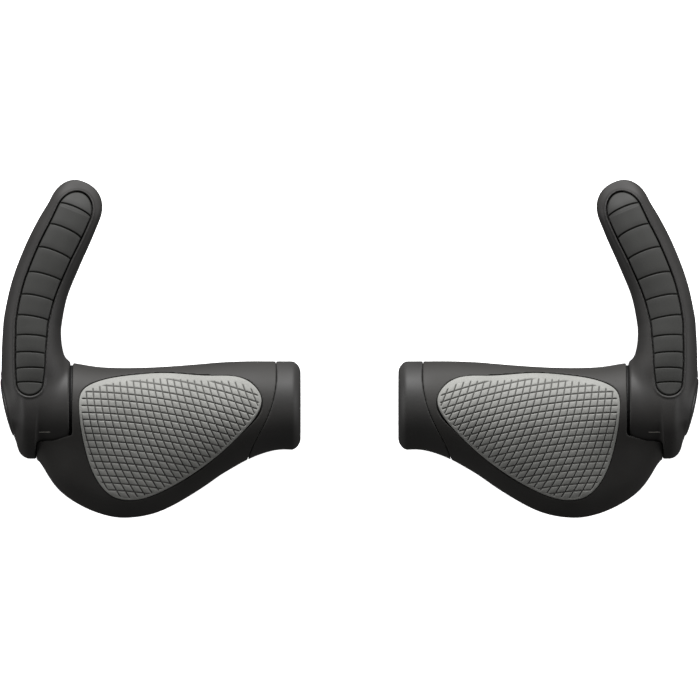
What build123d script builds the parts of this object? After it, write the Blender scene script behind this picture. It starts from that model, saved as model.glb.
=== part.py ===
"""A pair of winged handlebar grips with clamp-on bar ends, in millimetres.

Row frame: X runs along the handlebar, +Y points forward and +Z up. The origin is on the handlebar's
axis, midway between the two grips. The right grip is modelled, and the left one is its mirror image.
Inside a grip, u is the distance outboard from the collar's end face, v is Y and w is Z.
"""

from build123d import *
import math
import os

# ---- Driving dimensions -------------------------------------------------------------------------
HALF_GAP = 18.3  # from the origin to a collar's end face
BAR_RADIUS = 11.15  # bore for a 22.2 mm handlebar
CORE_RADIUS = 13.0  # outside of the stiff core under the rubber
FINGER_RADIUS = 12.6  # outside of the core's slotted end inside the clamp
COLLAR_RADIUS = 16.6  # flared inboard end
GRIP_LENGTH = 85.3  # collar face to the joint with the bar end
WING_LENGTH = 99.0  # collar face to the end of the wing's tail
CORE_LENGTH = 104.0
SLOT_START, SLOT_WIDTH = 91.0, 1.8
FLANGE_RADIUS, FLANGE_END = 15.2, 85.9  # the core's thin flange, between the rubber and the bar end

EYE_START = 86.3  # bar end's round eye, beside the grip
EYE_RADIUS = 16.4
EYE_CLEARANCE = 0.5  # between the eye and the wing's tail
BORE_RADIUS = 12.65  # running bore over the core's fingers
BORE_END = 105.0
BOSS_START, BOSS_END = 99.4, 106.8  # thicker outboard boss of the bar end
BOSS_RADIUS = 17.8
BOSS_CENTRE = (-2.2, -1.6)  # (v, w) of the boss's axis
BLOCK_LOW, BLOCK_HIGH = (99.4, -10.6, -22.0), (107.4, 10.6, -8.0)  # clamp housing under the boss
BLOCK_ROUND = 2.5

RING_RADIUS = 14.2  # split aluminium clamp ring, moulded into the bar end
RING_START, RING_END = 96.4, 104.4
EAR_START, EAR_END = 100.0, 106.0
EAR_BOTTOM = -20.4
REAR_EAR, FRONT_EAR = -5.6, 8.2  # outer faces of the ring's two ears
SLIT_HALF = 0.9

SCREW_U, SCREW_W = 103.0, -16.8  # the screw runs along Y, with its head at the rear
SCREW_RADIUS = 2.0  # M4
SCREW_LENGTH = 14.0
HEAD_RADIUS, HEAD_HEIGHT = 3.5, 4.0
KEY_FLATS, KEY_DEPTH = 3.0, 2.2
WASHER_HEIGHT = 0.8
POCKET_RADIUS = 3.6
THREAD_CLEARANCE = 0.05
SHANK_CLEARANCE = 0.35
NUT_RADIUS, NUT_V = 3.0, 4.5  # steel barrel nut across the front ear

PAD_DEPTH = 1.2  # palm pad let into the rubber
HORN_PAD_DEPTH = 1.6  # ribbed pad let into the bar end
HORN_WALL = 3.2  # moulded wall round the horn's hollow
HOLLOW_START = 34.0
LEDGE = 1.6  # ledge that carries the horn's pad
RIBS = (42.0, 54.0, 66.0)
RIB_THICKNESS = 2.0

CAP_RADIUS = 11.2
CAP_CENTRE = (109.8, -0.6)  # (u, v) of the cap's rim plane on its axis
CAP_TILT = 12.5  # degrees that the cap's axis leans rearwards
CAP_CROWN, CAP_RIM = 1.4, 0.4  # middle and edge of the cap, proud of the bar end
CAP_SEAT = 1.4
SEAT_WALL, SEAT_LENGTH = 1.0, 9.0
SKIRT_RADIUS, SKIRT_WALL, SKIRT_LENGTH = 8.4, 1.4, 3.2

TALL = 60.0  # half height of a cutting prism, taller than anything

# Grip: u, forward reach, rearward reach, height above and depth below the bar's axis, and how full the
# wing's shoulder and tail are, as shares of its height.
WING = [
    (0.0, 16.6, 16.6, 16.6, 16.6, 0.84, 0.50),
    (10.0, 16.6, 16.9, 16.6, 16.6, 0.84, 0.50),
    (20.0, 16.6, 20.4, 16.5, 16.5, 0.84, 0.50),
    (30.0, 16.2, 26.2, 16.2, 16.2, 0.84, 0.50),
    (42.0, 15.2, 34.2, 15.8, 15.6, 0.85, 0.50),
    (54.0, 14.4, 40.2, 15.4, 15.2, 0.86, 0.50),
    (66.0, 14.1, 42.2, 15.3, 15.2, 0.84, 0.48),
    (76.0, 14.5, 40.4, 15.5, 15.5, 0.79, 0.44),
    (86.0, 16.0, 35.5, 15.9, 15.9, 0.68, 0.40),
    (92.0, 16.2, 30.2, 15.2, 15.2, 0.61, 0.36),
    (WING_LENGTH, 16.2, 20.3, 14.4, 14.2, 0.62, 0.30),
]
WING_FULL = 26.0  # rearward reach beyond the forward one at which the section is all wing
WING_STATIONS = [0, 5, 10, 15, 20, 26, 32, 38, 45, 52, 59, 66, 72, 78, 83, 88, 93, WING_LENGTH]

# Horn of the bar end: v, centre u, reach outboard and inboard of it, height and depth. The inboard side
# flares into the eye.
HORN = [
    (-8.0, 100.9, 10.0, 11.5, 13.6, 13.6),
    (0.0, 101.0, 11.0, 13.8, 16.2, 16.3),
    (8.0, 101.1, 11.2, 14.5, 16.4, 16.6),
    (14.0, 101.0, 11.2, 14.5, 16.2, 16.4),
    (20.0, 100.9, 11.2, 12.0, 15.7, 15.8),
    (26.0, 100.7, 11.1, 10.9, 15.0, 15.1),
    (32.0, 100.4, 10.9, 10.9, 14.1, 14.2),
    (44.0, 97.8, 10.8, 10.8, 12.8, 13.0),
    (56.0, 93.1, 10.9, 10.9, 11.5, 12.1),
    (66.0, 88.5, 10.8, 10.8, 9.7, 11.4),
    (73.2, 85.5, 10.8, 10.8, 8.0, 10.8),
]
HORN_STATIONS = [-8, -2, 4, 10, 14, 18, 22, 27, 34, 42, 50, 58, 66, 73.2]
HORN_TIP = 11.2  # length of the rounded tip
TIP_STATIONS = [0.3, 0.55, 0.75, 0.9, 0.98]
TIP_FALL = (0.24, 0.03)  # how fast the tip's top falls away: per mm, and more per square mm
TIP_ROUNDNESS = 2.1  # superellipse exponents of the tip's outline and of the horn's section
SQUARENESS = 2.6
HORN_POINTS = 16

# Outlines seen from above, as (u, v).
SEAM = [
    (9.9, 24), (9.3, 17), (8.9, 11.5), (9.3, 6), (11.1, -1.5), (14.5, -9), (17.8, -15.2), (20.4, -22),
    (23, -30),
]
SEAM_GAP = 0.15
PALM_PAD = [
    (14.6, 3.2), (19.2, 9.2), (34.0, 11.4), (50.0, 12.4), (64.0, 11.5), (76.0, 9.1), (81.7, 5.4),
    (82.8, -1.5), (80.8, -15.5), (76.6, -27.5), (69.8, -34.5), (62.5, -35.6), (52.0, -32.4), (36.0, -22.8),
    (21.0, -9.4),
]

# Pad on the horn's centreline: v and half width, from root to tip, and how far its ends reach beyond.
HORN_PAD = [(8.5, 4.9), (14, 5.4), (20, 5.6), (33, 6.1), (47, 6.6), (60, 6.8), (72.5, 6.5)]
HORN_PAD_FOOT, HORN_PAD_PEAK = 4.6, 8.2
END_SHARE = 0.72  # place along each rounded end where its outline gets a point of its own

BAR_PLANE = Plane.YZ.offset(HALF_GAP)  # at the collar's end face, facing outboard


def along(table, x):
    """Row of the table at x: a cubic between rows, with slopes taken from the neighbouring rows."""
    last = len(table) - 1
    i = max(k for k in range(last) if k == 0 or table[k][0] <= x)

    def slope(k, column):
        low, high = table[max(k - 1, 0)], table[min(k + 1, last)]
        return (high[column] - low[column]) / (high[0] - low[0])

    width = table[i + 1][0] - table[i][0]
    t = (x - table[i][0]) / width
    row = []
    for column in range(1, len(table[0])):
        start, end = table[i][column], table[i + 1][column]
        row.append(
            (2 * t**3 - 3 * t**2 + 1) * start
            + (t**3 - 2 * t**2 + t) * width * slope(i, column)
            + (3 * t**2 - 2 * t**3) * end
            + (t**3 - t**2) * width * slope(i + 1, column)
        )
    return row


def inward(points, depth):
    """Closed anticlockwise points, moved inwards by depth."""
    moved = []
    for i, (x, y) in enumerate(points):
        (x0, y0), (x1, y1) = points[i - 1], points[(i + 1) % len(points)]
        run = math.hypot(x1 - x0, y1 - y0)
        moved.append((x - depth * (y1 - y0) / run, y + depth * (x1 - x0) / run))
    return moved


def wing_section(u, inset=0.0):
    """(v, w) points round the grip at u: round at the collar, with a flat tail where the wing is widest."""
    front, rear, high, low, shoulder, tail = along(WING, u)
    wing = min(1.0, max(0.0, (rear - front) / WING_FULL))
    points = []
    for angle in (0, 32, 64, 95):
        reach = front if angle < 90 else rear
        points.append((reach * math.cos(math.radians(angle)), high * math.sin(math.radians(angle))))
    # Angle round the plain section; share of the rearward reach and height on the full wing.
    tail_points = [
        (122, 0.36, shoulder * high),
        (148, 0.70, tail * high),
        (168, 0.94, 0.10 * high),
        (180, 1.00, -2.4),
        (194, 0.955, -6.2),
        (214, 0.76, -8.8),
        (240, 0.42, -10.6),
    ]
    for angle, share, height in tail_points:
        across, up = math.cos(math.radians(angle)), math.sin(math.radians(angle))
        plain = (high if up > 0 else low) * up
        points.append((rear * (across * (1 - wing) - share * wing), plain * (1 - wing) + height * wing))
    for angle in (266, 298, 330):
        reach = rear if angle < 270 else front
        points.append((reach * math.cos(math.radians(angle)), low * math.sin(math.radians(angle))))
    return inward(points, inset)


def wing_skin(inset=0.0):
    """The grip's whole outer form, from the collar to the end of the wing's tail."""
    with BuildPart() as skin:
        for u in WING_STATIONS:
            with BuildSketch(Plane.YZ.offset(HALF_GAP + u)):
                with BuildLine():
                    Spline(*wing_section(u, inset), periodic=True)
                make_face()
        loft()
    return skin.part


def horn_plane(v, beyond=0.0):
    """Plane square to the horn's centreline at v, or beyond it. It faces the root, so its x is outboard."""
    end = HORN[-1][0]
    slope = along(HORN, min(v, end) + 0.5)[0] - along(HORN, min(v, end) - 0.5)[0]
    run = math.hypot(slope, 1)
    across, ahead = slope / run, 1 / run
    return Plane(
        origin=(HALF_GAP + along(HORN, v)[0] + across * beyond, v + ahead * beyond, 0),
        x_dir=(ahead, -across, 0),
        z_dir=(-across, -ahead, 0),
    )


def horn_section(v, size=1.0, inset=0.0, beyond=0.0):
    """(across, height) points of the horn's squarish section at v, or beyond it in the tip."""
    _, outboard, inboard, high, low = along(HORN, v)
    high -= TIP_FALL[0] * beyond + TIP_FALL[1] * beyond**2
    points = []
    for k in range(HORN_POINTS):
        c, s = math.cos(2 * math.pi * k / HORN_POINTS), math.sin(2 * math.pi * k / HORN_POINTS)
        across = (outboard if c > 0 else inboard) * math.copysign(abs(c) ** (2 / SQUARENESS), c)
        height = (high if s > 0 else low) * math.copysign(abs(s) ** (2 / SQUARENESS), s)
        points.append((across * size, height * size))
    return inward(points, inset)


def horn_skin(inset=0.0, start=HORN_STATIONS[0]):
    """The horn's form from v = start to its rounded tip."""
    end, tip = HORN_STATIONS[-1], HORN_TIP - inset
    with BuildPart() as skin:
        for v in [station for station in HORN_STATIONS if station >= start]:
            with BuildSketch(horn_plane(v)):
                with BuildLine():
                    Spline(*horn_section(v, inset=inset), periodic=True)
                make_face()
        for share in TIP_STATIONS:
            size = (1 - share**TIP_ROUNDNESS) ** (1 / TIP_ROUNDNESS)
            with BuildSketch(horn_plane(end, share * tip)):
                with BuildLine():
                    Spline(*horn_section(end, size, inset * size, share * tip), periodic=True)
                make_face()
        loft()
    return skin.part


def prism(points, low):
    """Upright prism on a closed smooth outline of (u, v) points, from w = low upwards."""
    with BuildPart() as block:
        with BuildSketch(Plane.XY.offset(low)):
            with BuildLine():
                Spline(*[(HALF_GAP + u, v) for u, v in points], periodic=True)
            make_face()
        extrude(amount=TALL)
    return block.part


def beside(edge, far_u):
    """Upright block between a smooth open edge of (u, v) points and a straight far side at far_u."""
    with BuildPart() as block:
        with BuildSketch(Plane.XY.offset(-TALL)):
            with BuildLine():
                curve = Spline(*[(HALF_GAP + u, v) for u, v in edge])
                first, last = curve @ 0, curve @ 1
                Polyline(last, (HALF_GAP + far_u, last.Y), (HALF_GAP + far_u, first.Y), first)
            make_face()
        extrude(amount=2 * TALL)
    return block.part


def rod(radius, start, end, plane=BAR_PLANE):
    """Round bar on the plane's normal: by default on the handlebar's axis, from u = start to u = end."""
    with BuildPart() as bar:
        with BuildSketch(plane.offset(start)):
            Circle(radius)
        extrude(amount=end - start)
    return bar.part


def box(low, high):
    """Block between two (u, v, w) corners."""
    size = [b - a for a, b in zip(low, high)]
    centre = [(a + b) / 2 for a, b in zip(low, high)]
    with BuildPart(Plane((HALF_GAP + centre[0], centre[1], centre[2]))) as block:
        Box(*size)
    return block.part


def horn_strip(inset=0.0):
    """(u, v) outline of the horn's pad, or of an opening inset from it: straight sides, elliptical ends."""
    foot, peak = HORN_PAD_FOOT - inset, HORN_PAD_PEAK - inset
    shoulder = math.sqrt(1 - END_SHARE**2)
    first, last = HORN_PAD[0], HORN_PAD[-1]
    stations = [(first[0], -END_SHARE * foot, shoulder * (first[1] - inset))]
    stations += [(v, 0.0, half - inset) for v, half in HORN_PAD]
    stations += [(last[0], END_SHARE * peak, shoulder * (last[1] - inset))]

    def place(v, beyond, across):
        plane = horn_plane(v)
        point = plane.origin - plane.z_dir * beyond + plane.x_dir * across
        return (point.X - HALF_GAP, point.Y)

    right = [place(v, beyond, half) for v, beyond, half in stations]
    left = [place(v, beyond, -half) for v, beyond, half in stations]
    return [place(first[0], -foot, 0.0), *right, place(last[0], peak, 0.0), *reversed(left)]


SCREW_PLANE = Plane(
    (HALF_GAP + SCREW_U, REAR_EAR, SCREW_W), x_dir=(1, 0, 0), z_dir=(0, -1, 0)
)  # on the rear ear's outer face, facing rearwards
NUT_PLANE = Plane((HALF_GAP + (EAR_START + EAR_END) / 2, NUT_V, SCREW_W), x_dir=(0, 1, 0), z_dir=(1, 0, 0))
LEAN = (math.cos(math.radians(CAP_TILT)), -math.sin(math.radians(CAP_TILT)))
CAP_PLANE = Plane(
    (HALF_GAP + CAP_CENTRE[0], CAP_CENTRE[1], 0), x_dir=(-LEAN[1], LEAN[0], 0), z_dir=(*LEAN, 0)
)  # the rim plane, facing out of the bar end
CAP_PROFILE = Plane(CAP_PLANE.origin, x_dir=CAP_PLANE.x_dir, z_dir=(0, 0, -1))  # x outwards, y along the axis


def core_sleeve(skin):
    """Stiff core: the tube on the handlebar, its flared collar and the slotted fingers inside the clamp."""
    collar_side = beside(SEAM, -10.0)
    tube = rod(CORE_RADIUS, 2.0, GRIP_LENGTH)
    flange = rod(FLANGE_RADIUS, GRIP_LENGTH, FLANGE_END)
    fingers = rod(FINGER_RADIUS, GRIP_LENGTH, CORE_LENGTH)
    bore = rod(BAR_RADIUS, -1.0, CORE_LENGTH + 1.0)
    with BuildPart() as core:
        add(skin)
        add(collar_side, mode=Mode.INTERSECT)
        add(tube)
        add(flange)
        add(fingers)
        add(bore, mode=Mode.SUBTRACT)
        # Round the collar's end: the ring outside this arc comes off.
        with BuildSketch(Plane.XY):
            with BuildLine():
                start, end = (HALF_GAP, BAR_RADIUS), (HALF_GAP + 3.2, COLLAR_RADIUS + 0.2)
                ThreePointArc(start, (HALF_GAP + 0.8, 14.9), end)
                Polyline(end, (end[0], 24), (HALF_GAP - 1, 24), (HALF_GAP - 1, BAR_RADIUS), start)
            make_face()
        revolve(axis=Axis.X, mode=Mode.SUBTRACT)
        with BuildSketch(Plane.YZ.offset(HALF_GAP + SLOT_START)):
            with PolarLocations(FINGER_RADIUS, 4, start_angle=45):
                Rectangle(6.0, SLOT_WIDTH)
        extrude(amount=CORE_LENGTH - SLOT_START + 1, mode=Mode.SUBTRACT)
    return core.part


def palm_pad(skin, inner):
    """Soft grey palm pad: the outer shell of the grip's form inside the pad's outline."""
    outline = prism(PALM_PAD, 0.0)
    with BuildPart() as pad:
        add(skin)
        add(outline, mode=Mode.INTERSECT)
        add(inner, mode=Mode.SUBTRACT)
    return pad.part


def grip_rubber(skin, palm):
    """Black rubber moulded round the core: the winged body, with a pocket for the palm pad."""
    collar_side = beside([(u + SEAM_GAP, v) for u, v in SEAM], -10.0)
    core_hole = rod(CORE_RADIUS, -1.0, GRIP_LENGTH + 1.0)
    eye_hole = rod(EYE_RADIUS + EYE_CLEARANCE, GRIP_LENGTH, 120.0)
    with BuildPart() as rubber:
        add(skin)
        add(collar_side, mode=Mode.SUBTRACT)
        add(core_hole, mode=Mode.SUBTRACT)
        add(eye_hole, mode=Mode.SUBTRACT)
        add(palm, mode=Mode.SUBTRACT)
    return rubber.part


def horn_pad(horn, inner):
    """Ribbed rubber pad let into the top of the horn."""
    outline = prism(horn_strip(), 0.0)
    with BuildPart() as pad:
        add(horn)
        add(outline, mode=Mode.INTERSECT)
        add(inner, mode=Mode.SUBTRACT)
    return pad.part


def barrel_nut():
    """Steel barrel nut, cross-drilled and tapped for the clamp screw."""
    half = (EAR_END - EAR_START) / 2
    with BuildPart() as nut:
        with BuildSketch(NUT_PLANE.offset(-half)):
            Circle(NUT_RADIUS)
        extrude(amount=2 * half)
        with BuildSketch(SCREW_PLANE):
            Circle(SCREW_RADIUS + THREAD_CLEARANCE)
        extrude(amount=-30, mode=Mode.SUBTRACT)
    return nut.part


def clamp_ring():
    """Split aluminium clamp ring with two ears, drilled for the screw and the barrel nut."""
    ring_body = rod(RING_RADIUS, RING_START, RING_END)
    ears = box((EAR_START, REAR_EAR, EAR_BOTTOM), (EAR_END, FRONT_EAR, 0.0))
    bore = rod(BORE_RADIUS, 80.0, 120.0)
    slit = box((80.0, -SLIT_HALF, EAR_BOTTOM - 1), (120.0, SLIT_HALF, 0.0))
    nut_hole = rod(NUT_RADIUS, -10.0, 10.0, NUT_PLANE)
    with BuildPart() as ring:
        add(ears)
        fillet(ring.edges().filter_by(Axis.X).group_by(Axis.Z)[0], 1.5)
        add(ring_body)
        add(bore, mode=Mode.SUBTRACT)
        add(slit, mode=Mode.SUBTRACT)
        add(nut_hole, mode=Mode.SUBTRACT)
        with BuildSketch(SCREW_PLANE):
            Circle(SCREW_RADIUS + SHANK_CLEARANCE)
        extrude(amount=-30, mode=Mode.SUBTRACT)
    return ring.part


def screw_washer():
    """Steel washer under the screw's head."""
    with BuildPart() as washer:
        with BuildSketch(SCREW_PLANE):
            Circle(HEAD_RADIUS)
            Circle(SCREW_RADIUS + SHANK_CLEARANCE, mode=Mode.SUBTRACT)
        extrude(amount=WASHER_HEIGHT)
    return washer.part


def clamp_screw():
    """M4 socket-head screw that closes the clamp ring."""
    with BuildPart() as screw:
        with BuildSketch(SCREW_PLANE.offset(WASHER_HEIGHT)):
            Circle(HEAD_RADIUS - THREAD_CLEARANCE)
        extrude(amount=HEAD_HEIGHT)
        chamfer(screw.faces().sort_by(Axis.Y)[0].edges(), 0.35)
        with BuildSketch(SCREW_PLANE.offset(WASHER_HEIGHT)):
            Circle(SCREW_RADIUS)
        extrude(amount=-SCREW_LENGTH)
        with BuildSketch(SCREW_PLANE.offset(WASHER_HEIGHT + HEAD_HEIGHT)):
            RegularPolygon(KEY_FLATS / 2, 6, major_radius=False)
        extrude(amount=-KEY_DEPTH, mode=Mode.SUBTRACT)
    return screw.part


def end_cap():
    """Crowned cap on the outboard end of the bar end, with a snap-in skirt behind it."""
    edge = CAP_RADIUS
    inside = SKIRT_RADIUS - SKIRT_WALL
    with BuildPart() as cap:
        with BuildSketch(CAP_PROFILE):
            with BuildLine():
                rim = (edge - 0.5, CAP_RIM)
                ThreePointArc((0, CAP_CROWN), (edge / 2, CAP_CROWN - 0.22 * (CAP_CROWN - CAP_RIM)), rim)
                Polyline(
                    rim, (edge, CAP_RIM - 0.4), (edge, -CAP_SEAT), (SKIRT_RADIUS, -CAP_SEAT),
                    (SKIRT_RADIUS, -SKIRT_LENGTH), (inside, -SKIRT_LENGTH), (inside, -CAP_SEAT),
                    (0, -CAP_SEAT), (0, CAP_CROWN),
                )
            make_face()
        revolve(axis=Axis(CAP_PLANE.origin, CAP_PLANE.z_dir))
    return cap.part


def boss():
    """Thick outboard boss: a short drum on its own axis, with its outboard edge well rounded."""
    v, w = BOSS_CENTRE
    start, end, radius = HALF_GAP + BOSS_START, HALF_GAP + BOSS_END, BOSS_RADIUS
    with BuildPart() as drum:
        with BuildSketch(Plane((0, v, w))):
            with BuildLine():
                Polyline((end, 10.7), (end, 0), (start, 0), (start, radius - 0.8))
                ThreePointArc((start, radius - 0.8), (start + 0.23, radius - 0.23), (start + 0.8, radius))
                Polyline((start + 0.8, radius), (end - 5.3, radius))
                ThreePointArc((end - 5.3, radius), (end - 1.6, 15.3), (end, 10.7))
            make_face()
        revolve(axis=Axis((0, v, w), (1, 0, 0)))
    return drum.part


def hollow(inner):
    """Ribbed hollow inside the horn, open at the top under the pad."""
    mouth = prism(horn_strip(LEDGE), 0.0)
    behind = box((60.0, -60.0, -TALL), (130.0, HOLLOW_START, TALL))
    with BuildPart() as void:
        add(mouth)
        add(behind, mode=Mode.SUBTRACT)
        add(inner)
        for v in RIBS:
            with BuildSketch(horn_plane(v).offset(-RIB_THICKNESS / 2)):
                Rectangle(TALL, 4 * TALL)
            extrude(amount=RIB_THICKNESS, mode=Mode.SUBTRACT)
    return void.part


def bar_end_body(horn, pad, ring, void):
    """Moulded nylon bar end: the horn, the eye round the core, the outboard boss and the clamp housing."""
    eye = rod(EYE_RADIUS, EYE_START, BOSS_START + 4.0)
    drum = boss()
    housing = box(BLOCK_LOW, BLOCK_HIGH)
    seat = rod(CAP_RADIUS + SEAT_WALL, -SEAT_LENGTH, 0.0, CAP_PLANE)
    cap_recess = rod(CAP_RADIUS, -CAP_SEAT, 5.0, CAP_PLANE)
    skirt_hole = rod(SKIRT_RADIUS, -8.0, 5.0, CAP_PLANE)
    bore = rod(BORE_RADIUS, 80.0, BORE_END)
    slit = box((RING_START, -SLIT_HALF, -TALL), (120.0, SLIT_HALF, -BORE_RADIUS + 1.0))
    with BuildPart() as body:
        add(housing)
        fillet(body.edges().filter_by(Axis.X).group_by(Axis.Z)[0], BLOCK_ROUND)
        add(drum)
        add(eye)
        add(seat)
        add(horn)
        split(bisect_by=CAP_PLANE, keep=Keep.BOTTOM)
        add(pad, mode=Mode.SUBTRACT)
        add(void, mode=Mode.SUBTRACT)
        add(bore, mode=Mode.SUBTRACT)
        add(cap_recess, mode=Mode.SUBTRACT)
        add(skirt_hole, mode=Mode.SUBTRACT)
        add(ring, mode=Mode.SUBTRACT)
        add(slit, mode=Mode.SUBTRACT)
        # The screw goes in from the rear, and its end clears the housing's front wall.
        with BuildSketch(SCREW_PLANE):
            Circle(POCKET_RADIUS)
        extrude(amount=20, mode=Mode.SUBTRACT)
        with BuildSketch(SCREW_PLANE):
            Circle(SCREW_RADIUS + SHANK_CLEARANCE)
        extrude(amount=-(SCREW_LENGTH + 1), mode=Mode.SUBTRACT)
        with BuildSketch(NUT_PLANE.offset(-(EAR_END - EAR_START) / 2)):
            Circle(NUT_RADIUS)
        extrude(amount=EAR_END - EAR_START, mode=Mode.SUBTRACT)
    return body.part


def main():
    """Build the right grip's pieces and write each one with its mirror image."""
    os.makedirs("parts", exist_ok=True)
    skin, skin_inner = wing_skin(), wing_skin(PAD_DEPTH)
    horn, horn_inner = horn_skin(), horn_skin(HORN_PAD_DEPTH)
    void = hollow(horn_skin(HORN_WALL, HOLLOW_START))
    palm, ladder = palm_pad(skin, skin_inner), horn_pad(horn, horn_inner)
    ring = clamp_ring()
    pieces = {
        "core_sleeve": core_sleeve(skin),
        "grip_rubber": grip_rubber(skin, palm),
        "palm_pad": palm,
        "bar_end_body": bar_end_body(horn, ladder, ring, void),
        "horn_pad": ladder,
        "clamp_ring": ring,
        "barrel_nut": barrel_nut(),
        "screw_washer": screw_washer(),
        "clamp_screw": clamp_screw(),
        "end_cap": end_cap(),
    }
    for name, piece in pieces.items():
        for side, shape in (("right", piece), ("left", mirror(piece, about=Plane.YZ))):
            shape.label = f"{side}_{name}"
            export_step(shape, f"parts/{side}_{name}.step")


main()
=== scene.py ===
"""A pair of winged handlebar grips with forward bar ends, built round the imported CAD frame.

The right grip's pieces are made in millimetres in the grip's own coordinates: u runs outboard from the
collar's end face, v forward and w up. Each piece is written twice, in metres, the left one mirrored.
"""

import math

import bpy
import numpy as np
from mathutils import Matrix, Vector
from mathutils.bvhtree import BVHTree


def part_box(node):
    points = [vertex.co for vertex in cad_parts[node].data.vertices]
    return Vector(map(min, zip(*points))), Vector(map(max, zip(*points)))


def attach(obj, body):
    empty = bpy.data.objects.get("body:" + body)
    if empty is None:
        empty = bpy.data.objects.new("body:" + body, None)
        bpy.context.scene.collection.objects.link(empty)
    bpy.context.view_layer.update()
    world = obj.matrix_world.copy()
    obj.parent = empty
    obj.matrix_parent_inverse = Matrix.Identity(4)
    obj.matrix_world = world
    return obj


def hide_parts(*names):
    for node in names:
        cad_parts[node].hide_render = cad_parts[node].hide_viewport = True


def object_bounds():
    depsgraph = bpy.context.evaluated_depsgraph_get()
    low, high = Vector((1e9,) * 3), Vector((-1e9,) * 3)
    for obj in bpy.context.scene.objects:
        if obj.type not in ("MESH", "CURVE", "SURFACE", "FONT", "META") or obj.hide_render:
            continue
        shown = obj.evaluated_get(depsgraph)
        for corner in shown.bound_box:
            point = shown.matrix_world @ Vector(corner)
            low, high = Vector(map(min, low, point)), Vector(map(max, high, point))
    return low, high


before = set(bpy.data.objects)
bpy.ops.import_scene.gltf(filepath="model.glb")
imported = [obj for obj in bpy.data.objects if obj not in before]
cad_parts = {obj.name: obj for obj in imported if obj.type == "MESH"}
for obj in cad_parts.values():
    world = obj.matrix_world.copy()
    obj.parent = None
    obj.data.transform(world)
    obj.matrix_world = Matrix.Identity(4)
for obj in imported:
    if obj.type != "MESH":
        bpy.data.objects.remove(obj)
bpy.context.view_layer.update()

MM = 0.001
HALF_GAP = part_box("right_core_sleeve")[0].x / MM  # from the row's origin to a collar's end face
VOXEL = 0.3  # cell of the moulded bodies' meshes
SIDES = {"right": 1.0, "left": -1.0}

# ---- Bar end: the same form as the CAD node, with soft moulded blends ------------------------------
EYE_START, EYE_RADIUS, EYE_END = 86.3, 16.4, 103.0
BOSS_START, BOSS_RADIUS, BOSS_CENTRE = 99.2, 17.8, (-2.2, -1.6)
BOSS_ROUND_START, BOSS_ROUND, BOSS_FLAT = 101.5, 5.3, 10.7
HOUSING_LOW, HOUSING_HIGH = np.array((99.4, -10.6, -22.0)), np.array((107.4, 10.6, -8.0))
CAP_CENTRE, CAP_TILT = (109.8, -0.6), math.radians(12.5)
CAP_RADIUS, SEAT_RADIUS, SEAT_LENGTH = 11.2, 12.2, 9.0
BORE_RADIUS, BORE_END = 12.9, 105.0
RECESS_RADIUS, RECESS_END = 15.5, 87.3  # recess round the core's flange
SLIT_HALF, SLIT_START = 1.05, 96.5  # slit through the clamp's housing
SCREW = (103.0, -16.8)  # (u, w) of the clamp screw, which runs along v
POCKET_RADIUS, POCKET_START = 3.6, -5.5
FIELD_LOW, FIELD_HIGH = np.array((71.0, -21.5, -23.6)), np.array((114.0, 86.2, 18.6))  # box round it all

# How widely its shapes run into each other, and how wide its rounded edges are.
EYE_EDGE, FACE_EDGE, BOSS_EDGE, SEAT_EDGE, RIM_EDGE = 1.2, 1.1, 0.3, 1.0, 0.8
HORN_BLEND, BOSS_BLEND, SEAT_BLEND, HOUSING_BLEND = 2.5, 2.0, 2.5, 1.6
HORN_ROOT_EDGE, HOUSING_ROUND = 3.0, 2.0
CUT_EDGE, FINE_CUT_EDGE = 0.4, 0.35
# Beyond this v the eye's flat inboard face leans away inboard, clear of the horn.
FACE_END, FACE_LEAN = 17.0, 3.0

# v, centre u, reach outboard and inboard of it, height and depth of the horn.
HORN = np.array([
    (-8.0, 100.9, 10.0, 11.5, 13.6, 13.6),
    (0.0, 101.0, 11.0, 13.8, 16.2, 16.3),
    (8.0, 101.1, 11.2, 14.5, 16.4, 16.6),
    (14.0, 101.0, 11.2, 14.5, 16.2, 16.4),
    (20.0, 100.9, 11.2, 12.0, 15.7, 15.8),
    (26.0, 100.7, 11.1, 10.9, 15.0, 15.1),
    (32.0, 100.4, 10.9, 10.9, 14.1, 14.2),
    (44.0, 97.8, 10.8, 10.8, 12.8, 13.0),
    (56.0, 93.1, 10.9, 10.9, 11.5, 12.1),
    (66.0, 88.5, 10.5, 10.8, 9.7, 11.4),
    (73.2, 85.5, 9.4, 10.8, 8.0, 10.8),
])
HORN_TIP, TIP_ROUNDNESS, SQUARENESS = 11.8, 2.25, 2.6
TIP_FALL = (0.24, 0.03)  # how fast the tip's top falls away: per mm, and more per square mm

# Horn's pad from root to tip: v, half width, and how far its middle lies inboard of the horn's line. Its
# ends reach beyond the first and last rows.
HORN_PAD = np.array([
    (8.5, 4.9, 0.0), (14, 5.4, 0.0), (20, 5.6, 0.0), (33, 6.0, 0.2),
    (47, 6.4, 0.5), (60, 6.6, 0.6), (72.5, 6.5, 1.0),
])
HORN_PAD_FOOT, HORN_PAD_PEAK = 4.6, 8.2
# The pad's cross grooves: where each one starts on the outboard side and ends on the inboard side.
LADDER = [
    (8.6, 8.4), (13.7, 14.0), (19.7, 19.5), (26.1, 25.7), (32.9, 32.8), (40.2, 40.7), (47.8, 49.3),
    (56.9, 57.6), (65.7, 65.5), (74.0, 73.6),
]
GROOVE_BOW = (0.3, 0.01)  # how far a groove's middle bows towards the tip: at the root, and more per mm

# (u, v) outline of the palm pad.
PALM_PAD = [
    (14.6, 3.2), (19.2, 9.2), (34.0, 11.4), (50.0, 12.4), (64.0, 11.5), (76.0, 9.1), (81.7, 5.4),
    (82.8, -1.5), (80.8, -15.5), (76.6, -27.5), (69.8, -34.5), (62.5, -35.6), (52.0, -32.4), (36.0, -22.8),
    (21.0, -9.4),
]


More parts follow.
